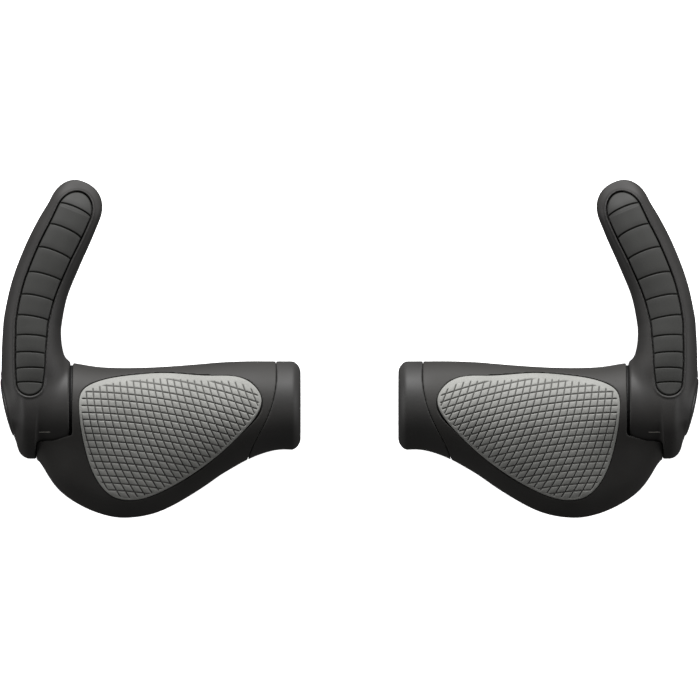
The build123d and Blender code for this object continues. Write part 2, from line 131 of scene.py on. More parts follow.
# ---- Curves and fields ---------------------------------------------------------------------------
def cubic(table, x):
    """Rows of the table at the values x: a cubic between rows, with slopes from the neighbouring rows."""
    keys, rows = table[:, 0], table[:, 1:]
    last = len(keys) - 1
    low, high = np.maximum(np.arange(last + 1) - 1, 0), np.minimum(np.arange(last + 1) + 1, last)
    slopes = (rows[high] - rows[low]) / (keys[high] - keys[low])[:, None]
    i = np.clip(np.searchsorted(keys, x, side="right") - 1, 0, last - 1)
    width = (keys[i + 1] - keys[i])[..., None]
    t = (np.asarray(x) - keys[i])[..., None] / width
    return (
        (2 * t**3 - 3 * t**2 + 1) * rows[i]
        + (t**3 - 2 * t**2 + t) * width * slopes[i]
        + (3 * t**2 - 2 * t**3) * rows[i + 1]
        + (t**3 - t**2) * width * slopes[i + 1]
    )


def closed_curve(points, count):
    """Closed smooth curve through the points, as evenly numbered samples of a periodic cubic spline."""
    p = np.array(points, float)
    n = len(p)
    h = np.hypot(*(np.roll(p, -1, 0) - p).T)
    before = np.roll(h, 1)
    system = np.zeros((n, n))
    for i in range(n):
        system[i, i - 1] += before[i]
        system[i, i] += 2 * (before[i] + h[i])
        system[i, (i + 1) % n] += h[i]
    rate = (np.roll(p, -1, 0) - p) / h[:, None]
    bend = np.linalg.solve(system, 6 * (rate - np.roll(rate, 1, 0)))
    knots = np.concatenate(([0], np.cumsum(h)))
    x = np.linspace(0, knots[-1], count, endpoint=False)
    i = np.clip(np.searchsorted(knots, x, side="right") - 1, 0, n - 1)
    j = (i + 1) % n
    a, b, hi = (knots[i + 1] - x)[:, None], (x - knots[i])[:, None], h[i][:, None]
    return (
        (bend[i] * a**3 + bend[j] * b**3) / (6 * hi)
        + (p[i] / hi - bend[i] * hi / 6) * a
        + (p[j] / hi - bend[j] * hi / 6) * b
    )


def outline_distance(x, y, outline):
    """Signed distance of the points (x, y) from a closed outline, negative inside."""
    start, end = outline, np.roll(outline, -1, 0)
    edge = end - start
    length2 = (edge**2).sum(1)
    best = np.full(x.shape, 1e9)
    inside = np.zeros(x.shape, bool)
    for (x0, y0), (_, y1), (ex, ey), l2 in zip(start, end, edge, length2):
        px, py = x - x0, y - y0
        t = np.clip((px * ex + py * ey) / l2, 0, 1)
        np.minimum(best, (px - t * ex) ** 2 + (py - t * ey) ** 2, out=best)
        if y0 != y1:
            crosses = (y0 > y) != (y1 > y)
            inside ^= crosses & (px < ex * (y - y0) / (y1 - y0))
    distance = np.sqrt(best)
    return np.where(inside, -distance, distance)


def soft_min(a, b, k):
    """The smaller of two fields, blended over k where they are close."""
    h = np.clip(0.5 + 0.5 * (b - a) / k, 0, 1)
    return b * (1 - h) + a * h - k * h * (1 - h)


def soft_max(a, b, k):
    """The larger of two fields, blended over k where they are close."""
    return -soft_min(-a, -b, k)


def smooth_step(x):
    t = np.clip(x, 0, 1)
    return t * t * (3 - 2 * t)


# ---- Meshes ----------------------------------------------------------------------------------------
def surface_net(field, low, step):
    """(points, quads) of the zero level of a sampled field: one point in each cell that it crosses."""
    strides = np.array((field.shape[1] * field.shape[2], field.shape[2], 1))
    cells, places = [], []
    for axis in range(3):
        first, second = [slice(None)] * 3, [slice(None)] * 3
        first[axis], second[axis] = slice(0, -1), slice(1, None)
        a, b = field[tuple(first)], field[tuple(second)]
        crossed = np.argwhere((a < 0) != (b < 0))
        side, next_side = (axis + 1) % 3, (axis + 2) % 3
        crossed = crossed[(crossed[:, side] > 0) & (crossed[:, next_side] > 0)]
        a, b = a[tuple(crossed.T)], b[tuple(crossed.T)]
        place = crossed.astype(float)
        place[:, axis] += a / (a - b)
        ring = []
        for back, next_back in ((1, 1), (0, 1), (0, 0), (1, 0)):
            shift = np.zeros(3, int)
            shift[side], shift[next_side] = back, next_back
            ring.append((crossed - shift) @ strides)
        ring = np.stack(ring, 1)
        ring[a > 0] = ring[a > 0][:, ::-1]
        cells.append(ring)
        places.append(place)
    cells, places = np.concatenate(cells), np.concatenate(places)
    used, quads = np.unique(cells.ravel(), return_inverse=True)
    count = np.bincount(quads)
    spread = np.repeat(places, 4, axis=0)
    points = np.stack([np.bincount(quads, spread[:, k]) / count for k in range(3)], 1)
    return points * step + low, quads.reshape(-1, 4)


def relax(points, faces, rounds, amount=0.5, back=0.0):
    """Move each point towards the middle of its neighbours. back undoes part of the shrinkage each round."""
    a = faces.ravel()
    b = np.roll(faces, -1, 1).ravel()
    one, two = np.concatenate((a, b)), np.concatenate((b, a))
    count = np.maximum(np.bincount(one, minlength=len(points)), 1)
    for _ in range(rounds):
        for share in (amount, -back) if back else (amount,):
            middle = np.stack([np.bincount(one, points[two, k], len(points)) / count for k in range(3)], 1)
            points = points + share * (middle - points)
    return points


def grid_mesh(points):
    """(points, quads) of a grid of points, rows by columns."""
    rows, columns = points.shape[:2]
    index = np.arange(rows * columns).reshape(rows, columns)
    quads = np.stack([index[:-1, :-1], index[1:, :-1], index[1:, 1:], index[:-1, 1:]], -1)
    return points.reshape(-1, 3), quads.reshape(-1, 4)


def lathe(profile, count, plane):
    """(points, quads) of a closed (radius, height) profile turned about its axis, then placed by plane."""
    profile = np.array(profile, float)
    turn = np.linspace(0, 2 * math.pi, count, endpoint=False)[None]
    radius, height = profile[:, :1], profile[:, 1:]
    ring = np.stack((radius * np.cos(turn), radius * np.sin(turn), height + 0 * turn), 2)
    rows = len(profile)
    index = np.arange(rows * count).reshape(rows, count)
    beside = np.roll(index, -1, 1)
    quads = np.stack([index[:-1], index[1:], beside[1:], beside[:-1]], -1)
    return plane(ring.reshape(-1, 3)), quads.reshape(-1, 4)


def smoothed(profile, steps=6):
    """A profile with a smooth curve through its points."""
    p = np.array(profile, float)
    x = np.linspace(0, len(p) - 1, (len(p) - 1) * steps + 1)
    table = np.column_stack((np.arange(len(p)), p))
    return cubic(table, x)


def new_mesh(name, points, faces, attributes=None):
    """Mesh object from points in metres, with smooth faces and optional values per point."""
    mesh = bpy.data.meshes.new(name)
    size = faces.shape[1]
    mesh.vertices.add(len(points))
    mesh.vertices.foreach_set("co", np.asarray(points, np.float32).ravel())
    mesh.loops.add(faces.size)
    mesh.loops.foreach_set("vertex_index", faces.astype(np.int32).ravel())
    mesh.polygons.add(len(faces))
    mesh.polygons.foreach_set("loop_start", np.arange(0, faces.size, size, dtype=np.int32))
    mesh.polygons.foreach_set("use_smooth", np.ones(len(faces), bool))
    mesh.update(calc_edges=True)
    mesh.validate()
    for key, values in (attributes or {}).items():
        mesh.attributes.new(key, "FLOAT", "POINT").data.foreach_set("value", np.asarray(values, np.float32))
    made = bpy.data.objects.new(name, mesh)
    bpy.context.scene.collection.objects.link(made)
    return made


def pair(name, body, points, faces, material, stands_for, attributes=None):
    """The piece in millimetres on the right grip and its mirror image on the left one."""
    for side, sign in SIDES.items():
        place = points + (HALF_GAP, 0, 0)
        place = place * (sign * MM, MM, MM)
        turned = faces if sign > 0 else faces[:, ::-1]
        piece = new_mesh(f"{side}_{name}", place, turned, attributes)
        piece.data.materials.append(material)
        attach(piece, f"{side}_{body}")
        if stands_for:
            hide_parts(*[f"{side}_{node}" for node in stands_for])


# ---- The bar end's form ----------------------------------------------------------------------------
LINE_V = np.arange(HORN[0, 0], HORN[-1, 0] + 0.25, 0.5)
LINE_ROWS = cubic(HORN, LINE_V)
LINE = np.stack([LINE_ROWS[:, 0], LINE_V], 1)
LINE_AHEAD = np.gradient(LINE, axis=0)
LINE_AHEAD /= np.hypot(*LINE_AHEAD.T)[:, None]


def horn_place(u, v):
    """(station, across, beyond) of points (u, v): along the horn, outboard of it, and past its tip's root."""
    shape = np.broadcast(u, v).shape
    p = np.stack([np.broadcast_to(u, shape).ravel(), np.broadcast_to(v, shape).ravel()], 1)
    nearest = np.zeros(len(p), int)
    for i in range(0, len(p), 20000):
        part = p[i : i + 20000]
        nearest[i : i + 20000] = ((part[:, None] - LINE[None]) ** 2).sum(2).argmin(1)
    offset = p - LINE[nearest]
    ahead = LINE_AHEAD[nearest]
    along = (offset * ahead).sum(1)
    across = offset[:, 0] * ahead[:, 1] - offset[:, 1] * ahead[:, 0]
    station = LINE_V[nearest] + along * ahead[:, 1]
    beyond = np.where(nearest == len(LINE) - 1, along, 0.0)
    return station.reshape(shape), across.reshape(shape), np.maximum(beyond, 0).reshape(shape)


def horn_point(v, across=0.0, beyond=0.0):
    """(u, v) of a place on the horn: outboard of its line at station v, and past it."""
    v, across, beyond = np.broadcast_arrays(np.asarray(v, float), across, beyond)
    u = np.interp(v, LINE_V, LINE[:, 0])
    ahead_u, ahead_v = np.interp(v, LINE_V, LINE_AHEAD[:, 0]), np.interp(v, LINE_V, LINE_AHEAD[:, 1])
    return u + ahead_v * across + ahead_u * beyond, v - ahead_u * across + ahead_v * beyond


def horn_pad_half(s):
    """Half width of the horn's pad at s along the horn, closing in an ellipse at either end."""
    first, last = HORN_PAD[0, 0], HORN_PAD[-1, 0]
    half = cubic(HORN_PAD, np.clip(s, first, last))[..., 0]
    off = np.where(s < first, (first - s) / HORN_PAD_FOOT, np.maximum(s - last, 0) / HORN_PAD_PEAK)
    return half * np.sqrt(np.clip(1 - off**2, 0, 1))


def horn_strip(s, across):
    """(u, v) of a place on the horn's pad: s along the horn, running on past its last row."""
    first, last = HORN_PAD[0, 0], HORN_PAD[-1, 0]
    inboard = cubic(HORN_PAD, np.clip(s, first, last))[..., 1]
    return horn_point(np.minimum(s, last), across - inboard, np.maximum(s - last, 0))


def horn_pad_stations(count, crowding, trim):
    """Places along the horn's pad, closer together at its ends, which stop a little short of its tips."""
    t = np.linspace(0, 1, count)
    t = (1 - crowding) * t + crowding * (1 - np.cos(math.pi * t)) / 2
    low, high = HORN_PAD[0, 0] - HORN_PAD_FOOT, HORN_PAD[-1, 0] + HORN_PAD_PEAK
    return low + (high - low) * (trim + (1 - 2 * trim) * t)


def horn_pad_outline(count=260):
    """Closed outline of the horn's pad in (u, v)."""
    s = horn_pad_stations(count, 1.0, 0.00002)
    right, left = horn_strip(s, horn_pad_half(s)), horn_strip(s, -horn_pad_half(s))
    return np.concatenate((np.stack(right, 1), np.stack(left, 1)[::-1]))


def horn_field(station, across, beyond, w):
    """The horn: a superellipse section along its line, closed by a rounded tip."""
    row = np.moveaxis(cubic(HORN, np.clip(station, HORN[0, 0], HORN[-1, 0])), -1, 0)
    half = np.where(across > 0, row[1], row[2])
    fall = TIP_FALL[0] * beyond + TIP_FALL[1] * beyond**2
    tall = np.where(w > 0, np.maximum(row[3] - fall, 1.5), row[4])
    n, m = SQUARENESS, TIP_ROUNDNESS
    a, b = np.abs(across) / half + 1e-4, np.abs(w) / tall + 1e-4
    section = (a**n + b**n) ** (1 / n)
    slope = np.sqrt((a ** (n - 1) / half) ** 2 + (b ** (n - 1) / tall) ** 2) * section ** (1 - n)
    c = beyond / HORN_TIP
    whole = (section**m + c**m) ** (1 / m)
    slope = np.hypot((section / whole) ** (m - 1) * slope, (c / whole) ** (m - 1) / HORN_TIP)
    return soft_max((whole - 1) / slope, HORN[0, 0] + 0.5 - station, HORN_ROOT_EDGE)


def drum_field(u, v, w):
    """The boss: a drum whose outboard corner is a quarter ellipse."""
    radius = np.hypot(v - BOSS_CENTRE[0], w - BOSS_CENTRE[1])
    a = np.maximum(u - BOSS_ROUND_START, 0) / BOSS_ROUND + 1e-6
    b = np.maximum(radius - BOSS_FLAT, 0) / (BOSS_RADIUS - BOSS_FLAT) + 1e-6
    reach = np.hypot(a, b)
    curve = (reach - 1) * reach / np.hypot(a / BOSS_ROUND, b / (BOSS_RADIUS - BOSS_FLAT))
    return soft_max(curve, BOSS_START - u, BOSS_EDGE)


def cap_place(u, v):
    """(out, across) of points in the cap's own axes: out of the bar end, and along its rim plane."""
    du, dv = u - CAP_CENTRE[0], v - CAP_CENTRE[1]
    c, s = math.cos(CAP_TILT), math.sin(CAP_TILT)
    return du * c - dv * s, du * s + dv * c


def housing_field(u, v, w):
    """The clamp's housing under the boss: a box with rounded edges."""
    middle, half = (HOUSING_HIGH + HOUSING_LOW) / 2, (HOUSING_HIGH - HOUSING_LOW) / 2 - HOUSING_ROUND
    q = [np.abs(p - m) - h for p, m, h in zip((u, v, w), middle, half)]
    outside = np.sqrt(sum(np.maximum(x, 0) ** 2 for x in q))
    return outside + np.minimum(np.maximum(np.maximum(q[0], q[1]), q[2]), 0) - HOUSING_ROUND


def bar_end_form(u, v, w, place=None):
    """Outer form of the bar end, before anything is cut from it."""
    station, across, beyond = horn_place(u, v) if place is None else place
    horn = horn_field(station, across, beyond, w)
    eye = soft_max(np.hypot(v, w) - EYE_RADIUS, u - EYE_END, EYE_EDGE)
    face = EYE_START - u - FACE_LEAN * np.maximum(v - FACE_END, 0)
    form = soft_max(soft_min(eye, horn, HORN_BLEND), face, FACE_EDGE)
    form = soft_min(form, drum_field(u, v, w), BOSS_BLEND)
    out, rim = cap_place(u, v)
    seat = soft_max(np.hypot(rim, w) - SEAT_RADIUS, -out - SEAT_LENGTH, SEAT_EDGE)
    form = soft_min(form, seat, SEAT_BLEND)
    form = soft_min(form, housing_field(u, v, w), HOUSING_BLEND)
    return soft_max(form, out, RIM_EDGE)


PAD_GAP = 0.22  # groove between the horn's pad and the bar end
PAD_BED = 2.0  # depth of the bed that the pad lies in
LIP_HEIGHT, LIP_WIDTH, LIP_PLACE = 0.4, 0.36, 0.75  # lip, raised this far outside the pad's outline
CAP_GAP, CAP_SEAT_DEPTH = 0.15, 1.5


def bar_end_field(u, v, w):
    """The moulded bar end: its form with the pad's bed and lip, bore, cap seat, slit and screw pocket."""
    flat_u, flat_v = u[:, :, 0], v[:, :, 0]
    place = [x[:, :, None] for x in horn_place(flat_u, flat_v)]
    form = bar_end_form(u, v, w, place)
    pad = outline_distance(flat_u, flat_v, horn_pad_outline())[:, :, None]
    station, across = place[:2]
    # Along the inboard side the lip is hardly raised.
    plain = smooth_step((-across - 2) / 3) * smooth_step((station - 8) / 4) * smooth_step((58 - station) / 8)
    lip = LIP_HEIGHT * np.exp(-(((pad - LIP_PLACE) / LIP_WIDTH) ** 2)) * (1 - 0.85 * plain)
    top = w > 2
    bed = np.maximum(np.maximum(pad - PAD_GAP, -form - PAD_BED), 2 - w)
    body = soft_max(form - np.where(top, lip, 0), -bed, FINE_CUT_EDGE)
    out, rim = cap_place(u, v)
    cap_radius = np.hypot(rim, w)
    # The cap closes its seat, so a shallow one is enough.
    body = soft_max(body, -np.maximum(cap_radius - CAP_RADIUS - CAP_GAP, -out - CAP_SEAT_DEPTH), CUT_EDGE)
    radius = np.hypot(v, w)
    bore = np.maximum(radius - BORE_RADIUS, u - BORE_END)
    recess = np.maximum(radius - RECESS_RADIUS, u - RECESS_END)
    body = soft_max(body, -np.minimum(bore, recess), CUT_EDGE)
    slit = np.maximum(np.abs(v) - SLIT_HALF, np.maximum(w + BORE_RADIUS - 1, SLIT_START - u))
    body = soft_max(body, -slit, FINE_CUT_EDGE)
    pocket = np.maximum(np.hypot(u - SCREW[0], w - SCREW[1]) - POCKET_RADIUS, v - POCKET_START)
    return soft_max(body, -pocket, CUT_EDGE)


def make_bar_end(material):
    axes = [np.arange(a, b, VOXEL) for a, b in zip(FIELD_LOW, FIELD_HIGH)]
    u, v, w = np.meshgrid(*[x.astype(np.float32) for x in axes], indexing="ij", sparse=True)
    u, v, w = u + 0 * v, v + 0 * u, w
    points, quads = surface_net(bar_end_field(u, v, w), FIELD_LOW, VOXEL)
    points = relax(points, quads, 3, 0.5, 0.4)
    pair("bar_end", "bar_end", points, quads, material, ["bar_end_body"])


def form_height(form, u, v, high=20.0):
    """Height of a form's upper surface over the points (u, v), by halving."""
    below, above = np.zeros(np.shape(u)), np.full(np.shape(u), high)
    for _ in range(22):
        middle = (below + above) / 2
        inside = form(u, v, middle) < 0
        below, above = np.where(inside, middle, below), np.where(inside, above, middle)
    return (below + above) / 2


def raised(points, height):
    """A grid of points moved along its surface's normal by height."""
    normal = np.cross(np.gradient(points, axis=0), np.gradient(points, axis=1))
    normal /= np.linalg.norm(normal, axis=2)[:, :, None] + 1e-12
    normal *= np.sign(normal[:, :, 2:].mean()) or 1.0
    return points + normal * height[:, :, None]


def rolled(inside, radius):
    """Drop of a rounded edge at a distance inside its outline."""
    t = np.clip(1 - inside / radius, 0, 1)
    return radius * (1 - np.sqrt(1 - t**2))


LADDER_HALF, LADDER_DEPTH = 0.42, 0.6
LADDER_SAG, LADDER_SAG_REACH = 0.10, 1.1  # dip of the pad beside each groove
HORN_PAD_PROUD, HORN_PAD_EDGE, HORN_PAD_SKIRT = 0.12, 0.75, -1.7


def make_horn_pad(material):
    """The horn's ribbed pad: a fine sheet over the form, rounded into its bed at the outline."""
    rows, columns = ((760, 110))
    s = horn_pad_stations(rows, 0.5, 0.0005)[:, None]
    x = np.linspace(-1, 1, columns)[None]
    across = (0.55 * x + 0.45 * np.sin(x * math.pi / 2)) * horn_pad_half(s)
    u, v = horn_strip(s + 0 * across, across)
    place = horn_place(u, v)
    w = form_height(lambda a, b, c: bar_end_form(a, b, c, place), u, v)
    inside = -outline_distance(u, v, horn_pad_outline())
    height = HORN_PAD_PROUD - rolled(inside, HORN_PAD_EDGE)
    groove = np.zeros(u.shape)
    for outer, inner in LADDER:
        middle = (outer + inner) / 2
        bow = GROOVE_BOW[0] + GROOVE_BOW[1] * middle
        centre = middle + (outer - inner) / 2 * x + bow * (1 - x**2)
        off = np.abs(s - centre)
        groove = np.maximum(groove, 1 - smooth_step(off / LADDER_HALF))
        height = height - LADDER_SAG * np.exp(-(off / LADDER_SAG_REACH) ** 2)
    fade = smooth_step(inside / 0.5)
    height = height - LADDER_DEPTH * groove * fade
    edge = np.zeros(u.shape, bool)
    edge[0] = edge[-1] = edge[:, 0] = edge[:, -1] = True
    height = np.where(edge, HORN_PAD_SKIRT, height)
    points, quads = grid_mesh(raised(np.stack((u, v, w), 2), height))
    # Painted shade in the ladder grooves and along the pad's rounded edge into its bed.
    painted_shade = {"groove": np.maximum(groove * fade, 1 - smooth_step(inside / 0.6)).ravel()}
    pair("horn_pad_ribbed", "bar_end", points, quads, material, ["horn_pad"], painted_shade)


# ---- Grip --------------------------------------------------------------------------------------------
def cad_mesh(*nodes):
    """(points, triangles) of CAD nodes of the right grip, in the grip's own millimetres."""
    points, faces, start = [], [], 0
    for node in nodes:
        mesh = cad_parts[f"right_{node}"].data
        mesh.calc_loop_triangles()
        co = np.empty(len(mesh.vertices) * 3, np.float32)
        mesh.vertices.foreach_get("co", co)
        corners = np.empty(len(mesh.loop_triangles) * 3, np.int32)
        mesh.loop_triangles.foreach_get("vertices", corners)
        points.append(co.reshape(-1, 3) / MM - (HALF_GAP, 0, 0))
        faces.append(corners.reshape(-1, 3) + start)
        start += len(mesh.vertices)
    return np.concatenate(points), np.concatenate(faces)


def softened(node, voxel, rounds):
    """(points, quads) of a CAD node with its moulded edges rounded: remeshed finely, then relaxed."""
    points, faces = cad_mesh(node)
    rough = new_mesh("rough", points, faces)
    modifier = rough.modifiers.new("Remesh", "REMESH")
    modifier.mode, modifier.voxel_size = "VOXEL", voxel
    dense = bpy.data.meshes.new_from_object(rough.evaluated_get(bpy.context.evaluated_depsgraph_get()))
    co = np.empty(len(dense.vertices) * 3, np.float32)
    dense.vertices.foreach_get("co", co)
    corners = np.empty(len(dense.loops), np.int32)
    dense.loops.foreach_get("vertex_index", corners)
    old = rough.data
    bpy.data.objects.remove(rough)
    bpy.data.meshes.remove(old)
    bpy.data.meshes.remove(dense)
    quads = corners.reshape(-1, 4)
    return relax(co.reshape(-1, 3).astype(float), quads, rounds, 0.5, 0.35), quads


def cast_heights(u, v, sign, nodes):
    """Heights of the CAD nodes' upper (sign 1) or lower (sign -1) surface over a grid, NaN outside it."""
    tree = BVHTree.FromPolygons(*[x.tolist() for x in cad_mesh(*nodes)])
    down = Vector((0, 0, -sign))
    w = np.full(u.shape, np.nan)
    for place in np.ndindex(u.shape):
        hit = tree.ray_cast(Vector((u[place], v[place], 40.0 * sign)), down)[0]
        if hit is not None:
            w[place] = hit.z
    return w


def blurred(w, rounds):
    """Grid values averaged with their neighbours, ignoring gaps."""
    for _ in range(rounds):
        for axis in (0, 1):
            stack = np.stack([np.roll(w, 1, axis), w, w, np.roll(w, -1, axis)])
            count = (~np.isnan(stack)).sum(axis=0)
            w = np.where(np.isnan(w), w, np.nansum(stack, axis=0) / np.maximum(count, 1))
    return w


def textured_sheet(outline, step, sign, nodes, height_at):
    """(points, faces, values) of a sheet over the grip, its border snapped to the outline."""
    low, high = outline.min(0) - 1.0, outline.max(0) + 1.0
    u, v = np.meshgrid(*[np.arange(a, b, step) for a, b in zip(low, high)], indexing="ij")
    distance = outline_distance(u, v, outline)
    held = distance < 0
    cell = held[:-1, :-1] | held[1:, :-1] | held[:-1, 1:] | held[1:, 1:]
    slope = np.stack(np.gradient(distance, step), 2)
    slope /= np.linalg.norm(slope, axis=2)[:, :, None] + 1e-9
    border = ~held
    w = blurred(cast_heights(u, v, sign, nodes), int(round(0.8 / step)))
    lean_u, lean_v = np.gradient(np.nan_to_num(w, nan=0.0), step)
    u = u - np.where(border, distance * slope[:, :, 0], 0)
    v = v - np.where(border, distance * slope[:, :, 1], 0)
    w = w - np.where(border, distance * (slope[:, :, 0] * lean_u + slope[:, :, 1] * lean_v), 0)
    normal = np.stack((-lean_u, -lean_v, np.ones(u.shape)), 2)
    normal *= sign / np.linalg.norm(normal, axis=2)[:, :, None]
    inside = np.maximum(-distance, 0)
    height, groove = height_at(u, v, inside, border)
    points = np.stack((u, v, w), 2) + normal * height[:, :, None]
    index = np.arange(u.size).reshape(u.shape)
    quads = np.stack([index[:-1, :-1], index[1:, :-1], index[1:, 1:], index[:-1, 1:]], -1)[cell]
    if sign < 0:
        quads = quads[:, ::-1]
    used, quads = np.unique(quads, return_inverse=True)
    return points.reshape(-1, 3)[used], quads.reshape(-1, 4), groove.ravel()[used]


KNURL_A, KNURL_B = 2.6, 2.65  # spacing of the two families of knurl grooves
KNURL_HALF, KNURL_DEPTH = 0.40, 0.44
# The first family runs along u, and bows more and more inboard of KNURL_BOW_START.
KNURL_BOW, KNURL_BOW_START = 0.0051, 84
# The second family runs across it: its lean at u = KNURL_FAN_START, how that grows per mm, and its own bow.
KNURL_FAN, KNURL_FAN_GROWTH, KNURL_FAN_START, KNURL_SWEEP = 0.126, 0.005, 80, 0.0095


def knurl(u, v):
    """0 on the knurl's blocks, rising to 1 in the middle of its curved grooves."""
    reach = KNURL_BOW_START - u
    fan = KNURL_FAN + KNURL_FAN_GROWTH * (KNURL_FAN_START - u)
    # Each family's level, its slopes along u and v, and its spacing.
    families = [
        (v + KNURL_BOW * reach**2 / 2, -KNURL_BOW * reach, np.ones(u.shape), KNURL_A),
        (u - fan * v + KNURL_SWEEP * v**2 / 2, 1 + KNURL_FAN_GROWTH * v, -fan + KNURL_SWEEP * v, KNURL_B),
    ]
    groove, dome = np.zeros(u.shape), np.ones(u.shape)
    for level, by_u, by_v, pitch in families:
        phase = level / pitch
        off = np.abs(phase - np.round(phase)) * pitch / np.hypot(by_u, by_v)
        groove = np.maximum(groove, 1 - smooth_step(off / KNURL_HALF))
        dome = dome * smooth_step(off / (0.5 * pitch))
    return groove, dome


PALM_PROUD, PALM_EDGE, PALM_DOME, PALM_SKIRT = 0.14, 0.6, 0.07, -1.05
PALM_MARGIN, PALM_FRONT_MARGIN = 0.9, 1.2  # plain border round the knurl, and what the front adds to it
PALM_FADE = 0.35


def palm_height(u, v, inside, border):
    """(height, groove) over the palm pad: its rounded edge, and the knurl inside a plain border."""
    groove, dome = knurl(u, v)
    margin = PALM_MARGIN + PALM_FRONT_MARGIN * smooth_step((v - 4.0) / 4.0)
    field = smooth_step((inside - margin) / PALM_FADE)
    groove = groove * field
    height = PALM_PROUD - rolled(inside, PALM_EDGE) - KNURL_DEPTH * groove + PALM_DOME * dome * field
    # The groove value, also taken along the pad's rounded edge, sets the painted shade in the knurl's grooves
    # and round the pad.
    return np.where(border, PALM_SKIRT, height), np.maximum(groove, 1 - smooth_step(inside / PALM_FADE))


def make_palm_pad(material):
    """The grey palm pad: a fine sheet over the wing, knurled with real grooves."""
    outline = closed_curve(PALM_PAD, 360)
    step = 0.17
    points, quads, groove = textured_sheet(outline, step, 1, ["grip_rubber", "palm_pad"], palm_height)
    shaded = {"groove": groove}
    pair("palm_pad_knurled", "grip", points, quads, material, ["palm_pad"], shaded)


# (u, v) outline of the texture under the grip.
FINGER_FIELD = [
    (24.0, -2.0), (31.0, 7.2), (44.0, 8.4), (60.0, 8.0), (74.0, 7.4), (80.0, 2.0),
    (78.0, -12.0), (68.0, -22.0), (54.0, -22.0), (38.0, -14.0),
]
FINGER_SINK, FINGER_RISE, FINGER_RISE_WIDTH = 0.12, 0.3, 0.8  # the field rises out of the skin at its outline
FINGER_DEPTH, FINGER_DOME, FINGER_SKIRT = 0.3, 0.04, -0.3
FINGER_MARGIN, FINGER_FADE = 0.5, 0.4


def finger_height(u, v, inside, border):
    """(height, groove) over the texture under the grip."""
    groove, dome = knurl(u, v)
    field = smooth_step((inside - FINGER_MARGIN) / FINGER_FADE)
    groove = groove * field
    rise = FINGER_RISE * smooth_step(inside / FINGER_RISE_WIDTH) - FINGER_SINK
    height = rise - FINGER_DEPTH * groove + FINGER_DOME * dome * field
    return np.where(border, FINGER_SKIRT, height), groove


def make_finger_field(material):
    """Moulded texture under the grip, where the fingers close round it."""
    outline = closed_curve(FINGER_FIELD, 300)
    step = 0.2
    points, quads, groove = textured_sheet(outline, step, -1, ["grip_rubber"], finger_height)
    # The groove values set painted shade in the texture's grooves.
    pair("finger_texture", "grip", points, quads, material, (), {"groove": groove})


def make_rubber(material):
    """The black rubber of the grip, with softened edges."""
    points, quads = softened("grip_rubber", VOXEL, 4)
    pair("rubber_skin", "grip", points, quads, material, ["grip_rubber"])


# (v, u) of the collar's joint with the rubber.
SEAM = np.array([
    (-30.0, 23.0), (-22.0, 20.4), (-15.2, 17.8), (-9.0, 14.5), (-1.5, 11.1),
    (6.0, 9.3), (11.5, 8.9), (17.0, 9.3), (24.0, 9.9),
])
# (radius, u) of the flange that closes the joint between the rubber and the bar end.
FLANGE = [(12.4, 85.1), (15.1, 85.1), (15.1, 86.6), (15.0, 86.85), (14.8, 86.9), (12.4, 86.9)]
TONGUE, TONGUE_SINK, TONGUE_FADE = 0.5, 0.7, 0.6  # reach into the rubber, and depth below the skin
COLLAR_ROUND, COLLAR_FADE = 6.0, 2.0  # length of the collar's smoothly rounded end
# Beyond this u the core is painted dark, as painted shade in the gap by the bar end.
FINGERS_START = 60


def seam_tongue(points):
    """Points of the core, with the collar's joint face pushed into the rubber below its skin."""
    u, v, w = points.T
    radius, turn = np.hypot(v, w), np.arctan2(w, v)
    face = (np.abs(u - np.interp(v, SEAM[:, 0], SEAM[:, 1])) < 0.7) & (radius > 13.6)
    bins = ((turn / (2 * math.pi) + 0.5) * 72).astype(int) % 72
    skin = np.zeros(72)
    np.maximum.at(skin, bins[face], radius[face])
    shift = np.where(face, TONGUE * smooth_step((skin[bins] - radius - TONGUE_SINK) / TONGUE_FADE), 0)
    return points + shift[:, None] * (1, 0, 0)


def make_core(material):
    """The core: its collar, smoothly rounded at the end, and its fingers, painted dark as painted shade where
    they show in the gap at the bar end.
    """
    points, quads = softened("core_sleeve", VOXEL, 4)
    smooth = relax(points, quads, 16)
    points = points + smooth_step((COLLAR_ROUND - points[:, :1]) / COLLAR_FADE) * (smooth - points)
    # Painted shade: the fingers beyond FINGERS_START take the material's dark groove colour.
    shaded = {"groove": (points[:, 0] > FINGERS_START).astype(float)}
    points = seam_tongue(points)
    pair("core_shell", "grip", points, quads, material, ["core_sleeve"], shaded)


def make_flange(material):
    """The core's flange, which closes the joint between the rubber and the bar end, in a near black material
    that is painted shade in the joint.
    """
    points, quads = lathe(FLANGE, 160, lambda p: p[:, [2, 0, 1]])
    pair("core_flange", "grip", points, quads[:, ::-1], material, ())


# ---- End cap and painted highlight line --------------------------------------------------------------
def cap_plane(points):
    """Points in the cap's own axes, its axis last, placed in the bar end's outboard side."""
    across, up, out = points.T
    c, s = math.cos(CAP_TILT), math.sin(CAP_TILT)
    return np.stack((CAP_CENTRE[0] + out * c + across * s, CAP_CENTRE[1] - out * s + across * c, up), 1)


def make_cap(material):
    """Crowned end cap with a rolled rim and one shallow turned ring."""
    crown = smoothed([
        (0.01, 1.40), (2.5, 1.38), (5.0, 1.25), (6.9, 1.09), (7.35, 0.92), (7.8, 1.00), (9.0, 0.86),
        (10.2, 0.62), (10.75, 0.40), (11.0, 0.08), (11.05, -0.5), (11.05, -1.3),
    ])
    points, quads = lathe(crown, 144, cap_plane)
    pair("cap_cover", "bar_end", points, quads, material, ["end_cap"])


